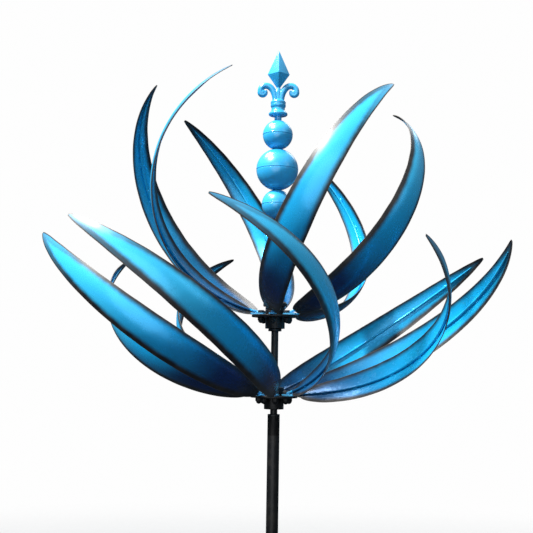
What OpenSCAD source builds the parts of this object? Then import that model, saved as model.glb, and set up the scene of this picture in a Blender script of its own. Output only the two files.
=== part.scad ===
// Kinetic garden wind sculpture: two counter-rotating rotors of curved
// sickle leaves on one fixed axle, with a stack of balls and a
// fleur-de-lis finial on top and a sectional pole on a ground fork.
// Units are millimetres, +Z is up, the origin is on the pole axis at ground level.

/* [Heights] */
// height of the lower hub plate above the ground
hub_height = 950; // [800:10:1600]
// distance between the two hub plates
hub_spacing = 106; // [90:1:150]
// height of the riser tube top above the lower hub plate
riser_top = 236.5; // [200:0.5:280]

/* [Lower rotor] */
// number of lower leaves
lower_count = 8; // [4:1:8]
// bend radius of a lower leaf
lower_bend = 210; // [150:1:260]
// angle each lower leaf is bent through
lower_arc = 120; // [80:1:150]
// rise of a lower leaf where it leaves the hub
lower_rise = 10; // [0:1:30]
// roll of the bend plane of a lower leaf
lower_roll = 55; // [0:1:80]
// heading of the first lower leaf
lower_start = 5; // [0:1:45]
// turn of each lower leaf on its bolt, in steps of 5 degrees
lower_swing = [0, -5, -15, -20, -25, 20, 5, 10]; // [-25:5:25]
// extra rise of each lower leaf, in steps of 5 degrees
lower_lift = [0, 5, -10, -5, -5, 0, -5, 0]; // [-15:5:15]
// how early along a lower leaf its widest point comes
lower_early = 0.68; // [0.5:0.02:1]

/* [Upper rotor] */
// number of upper leaves
upper_count = 6; // [4:1:6]
// bend radius of an upper leaf
upper_bend = 175; // [140:1:220]
// angle each upper leaf is bent through
upper_arc = 145; // [100:1:160]
// rise of an upper leaf where it leaves the hub
upper_rise = 10; // [0:1:30]
// roll of the bend plane of an upper leaf
upper_roll = -30; // [-80:1:0]
// heading of the first upper leaf
upper_start = -10; // [-45:1:45]
// turn of each upper leaf on its bolt, in steps of 5 degrees
upper_swing = [0, -5, 15, -5, 0, -15]; // [-25:5:25]
// extra rise of each upper leaf, in steps of 5 degrees
upper_lift = [0, 0, -20, 0, 0, 0]; // [-20:5:15]
// how early along an upper leaf its widest point comes
upper_early = 0.6; // [0.5:0.02:1]

/* [Leaves] */
// widest point of a leaf
leaf_width = 46; // [20:0.5:60]
// sheet thickness of a leaf
leaf_sheet = 0.8; // [0.5:0.1:2]
// how pointed a leaf's ends are, lower is blunter
leaf_point = 0.58; // [0.5:0.02:1]
// radius of the hollow pressed across a leaf
leaf_crown = 48; // [30:1:90]
// radius of the spine rod inside a leaf
spine_radius = 1.6; // [1:0.1:3]
// bare length of spine rod before the leaf begins
leaf_gap = 14; // [8:1:20]
// share of the bend that the spine rod follows
spine_share = 0.94; // [0.8:0.01:0.98]

/* [Hubs] */
// radius of a hub plate
plate_radius = 31; // [28:0.5:40]
// radius of the bolt circle
bolt_circle = 20; // [19:0.5:26]
// radius of a bearing housing
housing_radius = 13; // [12.5:0.5:15]

/* [Finial] */
// height of the finial above the top ball
finial_height = 98.6; // [90:0.2:110]
// radius of the curled arms
arm_radius = 4.3; // [3:0.1:4.6]
// radius each arm curls round
curl_radius = 8.5; // [8:0.1:11]
// radius of the knob that ends each curl
knob_radius = 7; // [5:0.1:7.5]

/* [Pole] */
// outer radius of the pole tubes
pole_radius = 8; // [7:0.5:12]
// height of the joint between the pole sections
joint_height = 460; // [300:10:700]
// depth of the side prongs below ground
prong_depth = 200; // [150:10:300]

/* [Hidden] */
lower_z = hub_height;
upper_z = hub_height + hub_spacing;
// half thickness of a hub plate
plate_half = 1.5;
// hub housing ends and bearing seats, measured from the plate middle
housing_foot = -16.5;
housing_head = 12;
seat_low = -9;
seat_high = 4.5;
race_height = 7;
axle_radius = 4;
tube_radius = 4.75;
pole_top = lower_z - 23;
clamp_height = 85;
tab_thick = 2.4;
bolt_radius = 2.5;
hex_radius = 4.62;
root_rise = 2.2;
// extra root height for each degree a leaf dips, which keeps its rod off the plate
dip_relief = 0.14;
ball_small = 20.2;
ball_large = 28.2;
// flat rubbed on each pole of a ball
ball_flat = 4.6;
flat_small = sqrt(ball_small * ball_small - ball_flat * ball_flat);
flat_large = sqrt(ball_large * ball_large - ball_flat * ball_flat);
bottom_ball_z = lower_z + riser_top + flat_small;
middle_ball_z = bottom_ball_z + flat_small + flat_large;
top_ball_z = middle_ball_z + flat_large + flat_small;
finial_z = top_ball_z + flat_small;
azure = [0.05, 0.45, 0.78];
sky = [0.25, 0.66, 0.92];
black = [0.05, 0.05, 0.055];
steel = [0.6, 0.61, 0.63];
zinc = [0.35, 0.36, 0.38];

// ---------- helpers ----------

// plain tube between two heights
module tube(outer, inner, foot, head) {
    translate([0, 0, foot])
        difference() {
            cylinder(r = outer, h = head - foot, $fn = 64);
            translate([0, 0, -1]) cylinder(r = inner, h = head - foot + 2, $fn = 64);
        }
}

// half width of a leaf at a fraction of its length
function leaf_half(t, early) = leaf_width / 2 * pow(sin(180 * pow(t, early)), leaf_point);

// fractions of the length, closer together at the ends
function leaf_step(i, steps) = (1 - cos(180 * i / steps)) / 2;

// flat outline of a leaf seen along the middle of its bend
module leaf_outline(bend, arc, early) {
    steps = 14;
    root = leaf_gap / bend * 180 / PI;
    far = [for (i = [0 : steps]) let (t = leaf_step(i, steps))
        [bend * sin(root + (arc - root) * t - arc / 2), leaf_half(t, early)]];
    near = [for (i = [steps - 1 : -1 : 1]) let (t = leaf_step(i, steps))
        [bend * sin(root + (arc - root) * t - arc / 2), -leaf_half(t, early)]];
    polygon(concat(far, near));
}

// curved sheet leaf, bent round the Z axis, root at +X
module leaf(bend, arc, early) {
    intersection() {
        rotate_extrude(angle = arc, $fn = 128)
            intersection() {
                difference() {
                    translate([bend - leaf_crown, 0]) circle(r = leaf_crown + leaf_sheet / 2, $fn = 128);
                    translate([bend - leaf_crown, 0]) circle(r = leaf_crown - leaf_sheet / 2, $fn = 128);
                }
                translate([bend - 12, -leaf_width]) square([20, leaf_width * 2]);
            }
        rotate([0, 0, arc / 2])
            rotate([90, 0, 90])
                linear_extrude(height = bend + 10) leaf_outline(bend, arc, early);
    }
}

// stands a bend plane up: root tangent along +X, bend rolled towards +Z
module bend_plane(bend, rise, roll) {
    rotate([0, -rise, 0])
        rotate([roll, 0, 0])
            rotate([90, 0, 0])
                rotate([0, 0, -90])
                    translate([-bend, 0, 0]) children();
}

// puts a leaf or spine on its bolt
module on_bolt(height, heading, swing) {
    translate([0, 0, height])
        rotate([0, 0, heading - 90])
            translate([bolt_circle, 0, 0])
                rotate([0, 0, swing]) children();
}

// height of a root above the plate middle, higher where the leaf dips
function root_height(rise) = root_rise + dip_relief * max(0, -rise);

// bolt tab, flattened root of the spine rod
module tab(side) {
    translate([0, 0, plate_half])
        linear_extrude(height = tab_thick)
            difference() {
                union() {
                    circle(r = 5.2, $fn = 48);
                    polygon([[0, 5.2], [13, side + 2.4], [13, side - 2.4], [0, -5.2]]);
                }
                circle(r = bolt_radius, $fn = 48);
            }
}

// round rod that follows the hollow side of a leaf
module rod(bend, arc) {
    begin = 5.6 / bend * 180 / PI;
    finish = arc * spine_share;
    line = bend - leaf_sheet / 2 - spine_radius + 0.01;
    rotate([0, 0, begin])
        rotate_extrude(angle = finish - begin, $fn = 128)
            translate([line, 0]) circle(r = spine_radius, $fn = 24);
}

module lower_leaf(i) {
    color(azure)
        on_bolt(lower_z, lower_start + 360 / lower_count * i, lower_swing[i])
            translate([0, 0, root_height(lower_rise + lower_lift[i])])
                bend_plane(lower_bend, lower_rise + lower_lift[i], lower_roll)
                    leaf(lower_bend, lower_arc, lower_early);
}

module lower_spine(i) {
    color(azure)
        on_bolt(lower_z, lower_start + 360 / lower_count * i, lower_swing[i]) {
            tab(-1.6);
            translate([0, 0, root_height(lower_rise + lower_lift[i])])
                bend_plane(lower_bend, lower_rise + lower_lift[i], lower_roll)
                    rod(lower_bend, lower_arc);
        }
}

module upper_leaf(i) {
    color(azure)
        on_bolt(upper_z, upper_start + 360 / upper_count * i, upper_swing[i])
            translate([0, 0, root_height(upper_rise + upper_lift[i])])
                bend_plane(upper_bend, upper_rise + upper_lift[i], upper_roll)
                    leaf(upper_bend, upper_arc, upper_early);
}

module upper_spine(i) {
    color(azure)
        on_bolt(upper_z, upper_start + 360 / upper_count * i, upper_swing[i]) {
            tab(1);
            translate([0, 0, root_height(upper_rise + upper_lift[i])])
                bend_plane(upper_bend, upper_rise + upper_lift[i], upper_roll)
                    rod(upper_bend, upper_arc);
        }
}

// round plate with a ring of bolt holes
module hub_plate(height, count, start) {
    color(black)
        translate([0, 0, height - plate_half])
            difference() {
                rotate_extrude($fn = 96)
                    polygon([[housing_radius, 0], [plate_radius - 0.6, 0], [plate_radius, 0.6],
                        [plate_radius, plate_half * 2 - 0.6], [plate_radius - 0.6, plate_half * 2],
                        [housing_radius, plate_half * 2]]);
                for (i = [0 : count - 1])
                    rotate([0, 0, start + 360 / count * i - 90])
                        translate([bolt_circle, 0, -1])
                            cylinder(r = bolt_radius, h = plate_half * 2 + 2, $fn = 48);
            }
}

// bearing housing with a seat at each end and a shoulder between
module hub_housing(height) {
    color(black)
        translate([0, 0, height])
            rotate_extrude($fn = 96)
                polygon([[11, housing_foot], [housing_radius - 0.8, housing_foot],
                    [housing_radius, housing_foot + 0.8], [housing_radius, housing_head - 0.8],
                    [housing_radius - 0.8, housing_head], [11, housing_head], [11, seat_high],
                    [9.5, seat_high], [9.5, seat_low], [11, seat_low]]);
}

// the two shielded outer races of a hub
module outer_races(height) {
    color(steel) {
        tube(11, 6.5, height + seat_low - race_height, height + seat_low);
        tube(11, 6.5, height + seat_high, height + seat_high + race_height);
    }
}

// hexagon bolts through the tabs and the plate
module hub_bolts(height, count, start) {
    color(zinc)
        for (i = [0 : count - 1])
            rotate([0, 0, start + 360 / count * i - 90])
                translate([bolt_circle, 0, height]) {
                    translate([0, 0, plate_half + tab_thick]) cylinder(r = hex_radius, h = 3.5, $fn = 6);
                    translate([0, 0, -5.5]) cylinder(r = bolt_radius, h = 12, $fn = 48);
                }
}

// domed nuts under the plate
module hub_nuts(height, count, start) {
    color(black)
        for (i = [0 : count - 1])
            rotate([0, 0, start + 360 / count * i - 90])
                translate([bolt_circle, 0, height - plate_half])
                    difference() {
                        union() {
                            translate([0, 0, -4.5]) cylinder(r = hex_radius, h = 4.5, $fn = 6);
                            translate([0, 0, -4.5]) sphere(r = 3.7, $fn = 48);
                        }
                        translate([0, 0, -4]) cylinder(r = bolt_radius, h = 5, $fn = 48);
                        translate([0, 0, 0]) cylinder(r = 6, h = 2, $fn = 48);
                    }
}

// half of a hollow ball, pierced for the axle and flattened at the pole
module ball_half(radius, wall) {
    difference() {
        sphere(r = radius, $fn = 96);
        sphere(r = radius - wall, $fn = 96);
        translate([0, 0, -radius * 2]) cylinder(r = radius * 2, h = radius * 2, $fn = 96);
        translate([0, 0, sqrt(radius * radius - ball_flat * ball_flat)])
            cylinder(r = radius, h = radius, $fn = 96);
        translate([0, 0, radius - wall * 2]) cylinder(r = axle_radius, h = wall * 4, $fn = 64);
    }
}

// one curled arm of the finial in the XZ plane
module scroll() {
    stem_top = 39.6;
    reach = 4.1 + curl_radius;
    translate([4.1, 0, 24]) cylinder(r = arm_radius, h = stem_top - 24, $fn = 48);
    translate([reach, 0, stem_top])
        rotate([90, 0, 0])
            rotate([0, 0, -12])
                rotate_extrude(angle = 196, $fn = 96)
                    translate([curl_radius, 0]) circle(r = arm_radius, $fn = 48);
    translate([reach + curl_radius, 0, stem_top - 1.6]) sphere(r = knob_radius, $fn = 64);
}

// ---------- pole and centre column ----------

module ground_fork() {
    color(black)
        difference() {
            union() {
                translate([-75, -10, 0]) cube([150, 20, 6]);
                cylinder(r = 10.5, h = 110, $fn = 64);
                for (x = [-62, 62]) {
                    translate([x, 0, 25 - prong_depth]) cylinder(r = 5, h = prong_depth - 25, $fn = 48);
                    translate([x, 0, -prong_depth]) cylinder(r1 = 0.6, r2 = 5, h = 25, $fn = 48);
                }
                translate([0, 0, -prong_depth]) cylinder(r = 5, h = prong_depth, $fn = 48);
                translate([0, 0, -prong_depth - 30]) cylinder(r1 = 0.6, r2 = 5, h = 30, $fn = 48);
            }
            translate([0, 0, 8]) cylinder(r = pole_radius, h = 110, $fn = 64);
            translate([0, 0, clamp_height])
                rotate([90, 0, 0]) cylinder(r = 3, h = 20, $fn = 48);
        }
}

module fork_clamp_screw() {
    color(zinc)
        translate([0, 0, clamp_height])
            rotate([90, 0, 0]) {
                translate([0, 0, pole_radius]) cylinder(r = 3, h = 10, $fn = 48);
                translate([0, 0, 13]) cylinder(r = 5.8, h = 4, $fn = 6);
            }
}

module lower_pole() {
    color(black) tube(pole_radius, pole_radius - 1.2, 8, joint_height);
}

module upper_pole() {
    color(black) tube(pole_radius, pole_radius - 1.2, joint_height, pole_top - 1.5);
}

module pole_coupler() {
    color(black)
        difference() {
            translate([0, 0, joint_height - 30])
                rotate_extrude($fn = 64)
                    polygon([[pole_radius, 0], [9.6, 0], [10.4, 0.8], [10.4, 59.2], [9.6, 60],
                        [pole_radius, 60]]);
            for (z = [-15, 15])
                translate([0, 0, joint_height + z])
                    rotate([90, 0, 0]) cylinder(r = 2, h = 20, $fn = 48);
        }
}

module coupler_screws() {
    color(zinc)
        for (z = [-15, 15])
            translate([0, 0, joint_height + z])
                rotate([90, 0, 0]) {
                    translate([0, 0, pole_radius]) cylinder(r = 2, h = 4, $fn = 48);
                    translate([0, 0, 10.6]) cylinder(r = 3.6, h = 2.4, $fn = 48);
                }
}

module pole_plug() {
    color(black) {
        difference() {
            union() {
                translate([0, 0, pole_top - 28]) cylinder(r = pole_radius - 1.2, h = 27, $fn = 64);
                translate([0, 0, pole_top - 1.5]) cylinder(r = pole_radius, h = 1.5, $fn = 64);
            }
            translate([0, 0, pole_top - 30]) cylinder(r = axle_radius, h = 40, $fn = 64);
        }
    }
}

module axle() {
    color(steel)
        translate([0, 0, pole_top - 28])
            cylinder(r = axle_radius, h = finial_z + 26 - pole_top + 28, $fn = 64);
}

module lower_spacer() {
    color(black) tube(tube_radius, axle_radius, pole_top, lower_z + seat_low - race_height);
}

module inner_races() {
    color(steel)
        for (z = [lower_z, upper_z]) {
            tube(6.45, axle_radius, z + seat_low - race_height, z + seat_low);
            tube(6.45, axle_radius, z + seat_high, z + seat_high + race_height);
        }
}

module bearing_sleeves() {
    color(steel)
        for (z = [lower_z, upper_z])
            tube(5.5, axle_radius, z + seat_low, z + seat_high);
}

module middle_spacer() {
    color(black)
        tube(tube_radius, axle_radius, lower_z + seat_high + race_height, upper_z + seat_low - race_height);
}

module stop_collar() {
    color(black) tube(8.8, tube_radius, upper_z - 20, upper_z + housing_foot - 0.4);
}

module rain_cap() {
    color(black)
        translate([0, 0, upper_z + seat_high + race_height])
            rotate_extrude($fn = 96)
                polygon([[axle_radius, 0], [5.5, 0], [5.5, 1.2], [15.2, 1.2], [16, 2], [16, 5.2],
                    [14, 7.5], [axle_radius, 7.5]]);
}

module riser_tube() {
    color(black)
        tube(tube_radius, axle_radius, upper_z + seat_high + race_height + 7.5, lower_z + riser_top);
}

module bottom_ball_lower_half() {
    color(sky) translate([0, 0, bottom_ball_z]) rotate([180, 0, 0]) ball_half(ball_small, 0.9);
}

module bottom_ball_upper_half() {
    color(sky) translate([0, 0, bottom_ball_z]) ball_half(ball_small, 0.9);
}

module middle_ball_lower_half() {
    color(sky) translate([0, 0, middle_ball_z]) rotate([180, 0, 0]) ball_half(ball_large, 0.9);
}

module middle_ball_upper_half() {
    color(sky) translate([0, 0, middle_ball_z]) ball_half(ball_large, 0.9);
}

module top_ball_lower_half() {
    color(sky) translate([0, 0, top_ball_z]) rotate([180, 0, 0]) ball_half(ball_small, 0.9);
}

module top_ball_upper_half() {
    color(sky) translate([0, 0, top_ball_z]) ball_half(ball_small, 0.9);
}

module finial() {
    spear_foot = 43;
    spear_waist = 64;
    spear_half = 15.4;
    color(sky)
        translate([0, 0, finial_z])
            difference() {
                union() {
                    rotate_extrude($fn = 96)
                        polygon([[0, 0], [4.9, 0], [4.9, 6.2], [12, 6.8], [12.9, 8], [12.9, 10.2],
                            [11, 11.6], [9.4, 14], [9, 17.4], [10, 18.6], [10.4, 20.4],
                            [10.4, 25.4], [9.8, 27], [8, 27.8], [3, 30], [0, 30]]);
                    for (side = [0, 180])
                        rotate([0, 0, side]) scroll();
                    translate([0, 0, 30]) cylinder(r = 4, h = 16, $fn = 48);
                    translate([0, 0, spear_foot])
                        cylinder(r1 = 2, r2 = spear_half, h = spear_waist - spear_foot, $fn = 4);
                    translate([0, 0, spear_waist])
                        cylinder(r1 = spear_half, r2 = 0.3, h = finial_height - spear_waist, $fn = 4);
                }
                translate([0, 0, -1]) cylinder(r = axle_radius, h = 27, $fn = 64);
            }
}

// ---------- lower rotor ----------

module lower_hub_plate() {
    hub_plate(lower_z, lower_count, lower_start);
}

module lower_hub_housing() {
    hub_housing(lower_z);
}

module lower_outer_races() {
    outer_races(lower_z);
}

module lower_bolts() {
    hub_bolts(lower_z, lower_count, lower_start);
}

module lower_nuts() {
    hub_nuts(lower_z, lower_count, lower_start);
}

// ---------- upper rotor ----------

module upper_hub_plate() {
    hub_plate(upper_z, upper_count, upper_start);
}

module upper_hub_housing() {
    hub_housing(upper_z);
}

module upper_outer_races() {
    outer_races(upper_z);
}

module upper_bolts() {
    hub_bolts(upper_z, upper_count, upper_start);
}

module upper_nuts() {
    hub_nuts(upper_z, upper_count, upper_start);
}

// ---------- the assembly ----------

ground_fork();
fork_clamp_screw();
lower_pole();
pole_coupler();
coupler_screws();
upper_pole();
pole_plug();
axle();
lower_spacer();
inner_races();
bearing_sleeves();
middle_spacer();
stop_collar();
rain_cap();
riser_tube();
bottom_ball_lower_half();
bottom_ball_upper_half();
middle_ball_lower_half();
middle_ball_upper_half();
top_ball_lower_half();
top_ball_upper_half();
finial();
lower_hub_plate();
lower_hub_housing();
lower_outer_races();
lower_bolts();
lower_nuts();
lower_leaf(0);  // lower_leaf_1
lower_leaf(1);  // lower_leaf_2
lower_leaf(2);  // lower_leaf_3
lower_leaf(3);  // lower_leaf_4
lower_leaf(4);  // lower_leaf_5
lower_leaf(5);  // lower_leaf_6
lower_leaf(6);  // lower_leaf_7
lower_leaf(7);  // lower_leaf_8
lower_spine(0);  // lower_spine_1
lower_spine(1);  // lower_spine_2
lower_spine(2);  // lower_spine_3
lower_spine(3);  // lower_spine_4
lower_spine(4);  // lower_spine_5
lower_spine(5);  // lower_spine_6
lower_spine(6);  // lower_spine_7
lower_spine(7);  // lower_spine_8
upper_hub_plate();
upper_hub_housing();
upper_outer_races();
upper_bolts();
upper_nuts();
upper_leaf(0);  // upper_leaf_1
upper_leaf(1);  // upper_leaf_2
upper_leaf(2);  // upper_leaf_3
upper_leaf(3);  // upper_leaf_4
upper_leaf(4);  // upper_leaf_5
upper_leaf(5);  // upper_leaf_6
upper_spine(0);  // upper_spine_1
upper_spine(1);  // upper_spine_2
upper_spine(2);  // upper_spine_3
upper_spine(3);  // upper_spine_4
upper_spine(4);  // upper_spine_5
upper_spine(5);  // upper_spine_6
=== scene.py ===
import math
import bpy
import bmesh
import numpy as np
from mathutils import Matrix, Vector


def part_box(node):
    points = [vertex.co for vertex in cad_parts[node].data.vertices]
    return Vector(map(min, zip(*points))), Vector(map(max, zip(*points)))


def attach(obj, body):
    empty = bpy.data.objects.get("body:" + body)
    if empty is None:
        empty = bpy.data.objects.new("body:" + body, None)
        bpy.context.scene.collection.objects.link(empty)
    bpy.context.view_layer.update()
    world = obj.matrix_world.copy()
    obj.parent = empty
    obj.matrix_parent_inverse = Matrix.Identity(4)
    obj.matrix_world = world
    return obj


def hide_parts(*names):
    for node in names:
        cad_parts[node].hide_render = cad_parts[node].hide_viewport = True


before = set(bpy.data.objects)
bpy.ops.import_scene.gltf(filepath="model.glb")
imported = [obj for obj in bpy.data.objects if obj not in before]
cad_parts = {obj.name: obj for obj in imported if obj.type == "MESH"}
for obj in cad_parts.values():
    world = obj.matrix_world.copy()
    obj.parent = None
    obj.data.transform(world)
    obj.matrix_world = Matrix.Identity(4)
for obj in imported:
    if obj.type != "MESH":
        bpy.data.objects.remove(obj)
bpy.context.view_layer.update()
MM = 0.001


# ---------- places taken from the frame ----------

def middle(node):
    lo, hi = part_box(node)
    return (lo + hi) / 2


ZL = middle("lower_hub_plate").z / MM
ZU = middle("upper_hub_plate").z / MM
PRONG_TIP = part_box("ground_fork")[0].z


# ---------- leaf and spine geometry, the same rules as the CAD, in mm ----------

# widest point, sheet and pressed crown of a leaf, and how blunt its ends are
LEAF_W, SHEET, CROWN, POINT = 46.0, 0.8, 48.0, 0.58
# radius of the rod, bare rod before the leaf begins, share of the bend that the rod follows
ROD, LEAF_GAP, SPINE_SHARE = 1.6, 14.0, 0.94
# bolt circle, height of a level root above the plate's middle, extra height for each degree of dip
BOLT_R, RISE0, DIP_RELIEF = 20.0, 2.2, 0.14
# top of a plate above its middle, thickness of the bolt tab that lies on it
PLATE_H, TAB = 1.5, 2.4
# a leaf's tip is the middle of the points that lie this near to its farthest one
TIP_NEAR = 1.5
# how far inside the nominal bend a leaf and its rod lie, so that none passes the CAD's box
INSET = 0.6
# early: how early a leaf is widest; side: how far a tab's neck lies to one side of its bolt
ROTORS = {
    "lower": dict(z=ZL, count=8, bend=210.0, arc=120.0, roll=55.0, start=5.0, early=0.68, side=-1.6),
    "upper": dict(z=ZU, count=6, bend=175.0, arc=145.0, roll=-30.0, start=-10.0, early=0.6, side=1.0),
}


def rot(deg, axis):
    return Matrix.Rotation(math.radians(deg), 4, axis)


def bolt_axis(r, i):
    """Leaf i's bolt hole at the plate's middle height, X pointing straight out."""
    return (Matrix.Translation((0, 0, r["z"])) @ rot(r["start"] + 360 / r["count"] * i - 90, "Z")
            @ Matrix.Translation((BOLT_R, 0, 0)))


def root_height(rise):
    """Height of a root above the plate's middle, higher where the leaf dips."""
    return RISE0 + DIP_RELIEF * max(0, -rise)


def rolled_bend(r):
    """The plane a leaf is bent in, before it is raised and turned on its bolt."""
    return rot(r["roll"], "X") @ rot(90, "X") @ rot(-90, "Z") @ Matrix.Translation((-r["bend"], 0, 0))


def settle(key, r, i):
    """The frame's own turn and rise of leaf i, in whole degrees, read from where its tip is."""
    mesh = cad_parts[f"{key}_leaf_{i + 1}"].data
    pts = np.empty(len(mesh.vertices) * 3, np.float32)
    mesh.vertices.foreach_get("co", pts)
    pts = pts.reshape(-1, 3) / MM
    inv = np.array((bolt_axis(r, i) @ Matrix.Translation((0, 0, RISE0))).inverted())
    pts = pts @ inv[:3, :3].T + inv[:3, 3]
    far = pts[np.argmax(np.linalg.norm(pts, axis=1))]
    tip = pts[np.linalg.norm(pts - far, axis=1) < TIP_NEAR].mean(0)
    arc = math.radians(r["arc"])
    flat = rolled_bend(r) @ Vector((r["bend"] * math.cos(arc), r["bend"] * math.sin(arc), 0))
    reach = math.sqrt(max(tip[0] ** 2 + tip[1] ** 2 - flat.y ** 2, 0))
    swing = math.atan2(tip[1], tip[0]) - math.atan2(flat.y, reach)
    rise = 0
    for _ in range(2):
        height = tip[2] + RISE0 - root_height(rise)
        rise = round(math.degrees(math.atan2(height, reach) - math.atan2(flat.z, flat.x)))
    return round(math.degrees(swing)), rise


for key, r in ROTORS.items():
    r["set"] = [settle(key, r, i) for i in range(r["count"])]


def bolt_place(r, i):
    return bolt_axis(r, i) @ rot(r["set"][i][0], "Z")


def bend_place(r, i):
    """The plane a leaf is bent in, with the bend's centre at its origin."""
    rise = r["set"][i][1]
    lifted = Matrix.Translation((0, 0, root_height(rise)))
    return bolt_place(r, i) @ lifted @ rot(-rise, "Y") @ rolled_bend(r)


def half_width(t, early):
    return LEAF_W / 2 * np.maximum(np.sin(np.pi * np.clip(t, 0, 1) ** early), 0) ** POINT


# ---------- mesh helpers ----------

def to_scene(name, data):
    obj = bpy.data.objects.new(name, data)
    bpy.context.scene.collection.objects.link(obj)
    return obj


def from_bmesh(name, bm):
    """A smooth mesh object from a bmesh, which is freed."""
    mesh = bpy.data.meshes.new(name)
    bm.to_mesh(mesh)
    bm.free()
    mesh.polygons.foreach_set("use_smooth", [True] * len(mesh.polygons))
    return to_scene(name, mesh)


def set_attributes(mesh, values):
    for key, val in values.items():
        layer = mesh.attributes.new(key, "FLOAT", "POINT")
        layer.data.foreach_set("value", np.asarray(val, np.float32))


def make(name, verts, faces, matrix=None, attrs=None, sharp=None):
    """A mesh object from millimetre points, placed by matrix."""
    v = np.asarray(verts, float).reshape(-1, 3)
    if matrix is not None:
        m = np.array(matrix)
        v = v @ m[:3, :3].T + m[:3, 3]
    mesh = bpy.data.meshes.new(name)
    mesh.from_pydata((v * MM).tolist(), [], [tuple(int(k) for k in f) for f in faces])
    mesh.validate()
    mesh.polygons.foreach_set("use_smooth", [True] * len(mesh.polygons))
    set_attributes(mesh, attrs or {})
    obj = to_scene(name, mesh)
    if sharp is not None:
        sharpen(obj, sharp)
    return obj


def sharpen(obj, angle):
    """Marks every edge sharper than angle degrees."""
    bm = bmesh.new()
    bm.from_mesh(obj.data)
    bmesh.ops.recalc_face_normals(bm, faces=bm.faces)
    lim = math.radians(angle)
    for e in bm.edges:
        if len(e.link_faces) == 2 and e.calc_face_angle(0) > lim:
            e.smooth = False
    bm.to_mesh(obj.data)
    bm.free()


# a corner that turns by fewer degrees stays as it is, and a rounded one takes this many steps
MIN_TURN, ROUND_STEPS = 12, 3
# points closer than this are merged, and edges shorter than this are dissolved, in metres
MERGE, SHORT = 1e-6, 1e-7
# degrees from which a prism's edge is rounded, and from which each kind of edge is shaded sharp
ROUND_FROM, PRISM_SHARP, SWEEP_SHARP, LEAF_SHARP, SPEAR_SHARP = 30, 32, 50, 38, 28


def round_profile(points, radius):
    """Rounds the corners of an open (r, z) profile."""
    out = []
    n = len(points)
    for k, p in enumerate(points):
        p = np.array(p, float)
        if k in (0, n - 1):
            out.append(p)
            continue
        a, b = np.array(points[k - 1], float), np.array(points[k + 1], float)
        la, lb = np.linalg.norm(a - p), np.linalg.norm(b - p)
        u, v = (a - p) / la, (b - p) / lb
        turn = math.degrees(math.acos(max(-1, min(1, float(np.dot(-u, v))))))
        if turn < MIN_TURN:
            out.append(p)
            continue
        c = min(radius, la * 0.45, lb * 0.45)
        for s in range(ROUND_STEPS + 1):
            f = s / ROUND_STEPS
            out.append((1 - f) ** 2 * (p + u * c) + 2 * f * (1 - f) * p + f * f * (p + v * c))
    return out


def lathe(name, points, z=0.0, segs=96, matrix=None, radius=0.35, closed=True, sharp=40):
    """Turns an (r, z) profile in mm. A closed profile makes a ring, an open one meets the axis."""
    pts = list(points) + [points[0]] if closed else list(points)
    pts = round_profile(pts, radius)
    if closed:
        pts = pts[:-1]
    verts, faces = [], []
    n = len(pts)
    for s in range(segs):
        a = 2 * math.pi * s / segs
        verts += [(p[0] * math.cos(a), p[0] * math.sin(a), p[1] + z) for p in pts]
    last = n if closed else n - 1
    for s in range(segs):
        t = (s + 1) % segs
        for k in range(last):
            q = (k + 1) % n
            faces.append((s * n + k, t * n + k, t * n + q, s * n + q))
    obj = make(name, verts, faces, matrix)
    bm = bmesh.new()
    bm.from_mesh(obj.data)
    bmesh.ops.remove_doubles(bm, verts=bm.verts, dist=MERGE)
    bmesh.ops.dissolve_degenerate(bm, dist=SHORT, edges=bm.edges)
    bm.to_mesh(obj.data)
    bm.free()
    sharpen(obj, sharp)
    return obj


def prism(name, outline, z0, z1, matrix=None, bevel=0.3):
    """An upright prism with rounded edges."""
    n = len(outline)
    verts = [(x, y, z0) for x, y in outline] + [(x, y, z1) for x, y in outline]
    faces = [tuple(range(n))[::-1], tuple(range(n, 2 * n))]
    faces += [(k, (k + 1) % n, n + (k + 1) % n, n + k) for k in range(n)]
    obj = make(name, verts, faces, matrix)
    bm = bmesh.new()
    bm.from_mesh(obj.data)
    bmesh.ops.recalc_face_normals(bm, faces=bm.faces)
    lim = math.radians(ROUND_FROM)
    hard = [e for e in bm.edges if len(e.link_faces) == 2 and e.calc_face_angle(0) > lim]
    bmesh.ops.bevel(bm, geom=hard, offset=bevel * MM, segments=2, affect="EDGES", profile=0.6)
    bm.to_mesh(obj.data)
    bm.free()
    obj.data.polygons.foreach_set("use_smooth", [True] * len(obj.data.polygons))
    sharpen(obj, PRISM_SHARP)
    return obj


def sweep(name, path, radii, sides, matrix=None, up=(0, 1, 0)):
    """A round bar along a path of mm points, with one radius per point."""
    path = np.asarray(path, float)
    n = len(path)
    tang = np.gradient(path, axis=0)
    tang /= np.linalg.norm(tang, axis=1)[:, None]
    side = np.cross(tang, np.asarray(up, float))
    side /= np.linalg.norm(side, axis=1)[:, None]
    top = np.cross(side, tang)
    verts, faces = [], []
    for i in range(n):
        for k in range(sides):
            a = 2 * math.pi * k / sides
            verts.append(path[i] + radii[i] * (math.cos(a) * side[i] + math.sin(a) * top[i]))
    for i in range(n - 1):
        for k in range(sides):
            q = (k + 1) % sides
            faces.append((i * sides + k, i * sides + q, (i + 1) * sides + q, (i + 1) * sides + k))
    faces.append(tuple(range(sides))[::-1])
    faces.append(tuple((n - 1) * sides + k for k in range(sides)))
    obj = make(name, verts, faces, matrix)
    sharpen(obj, SWEEP_SHARP)
    return obj


def join(name, parts):
    """One object from several, which are deleted."""
    bm = bmesh.new()
    for p in parts:
        bm.from_mesh(p.data)
        mesh = p.data
        bpy.data.objects.remove(p)
        bpy.data.meshes.remove(mesh)
    return from_bmesh(name, bm)


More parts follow.
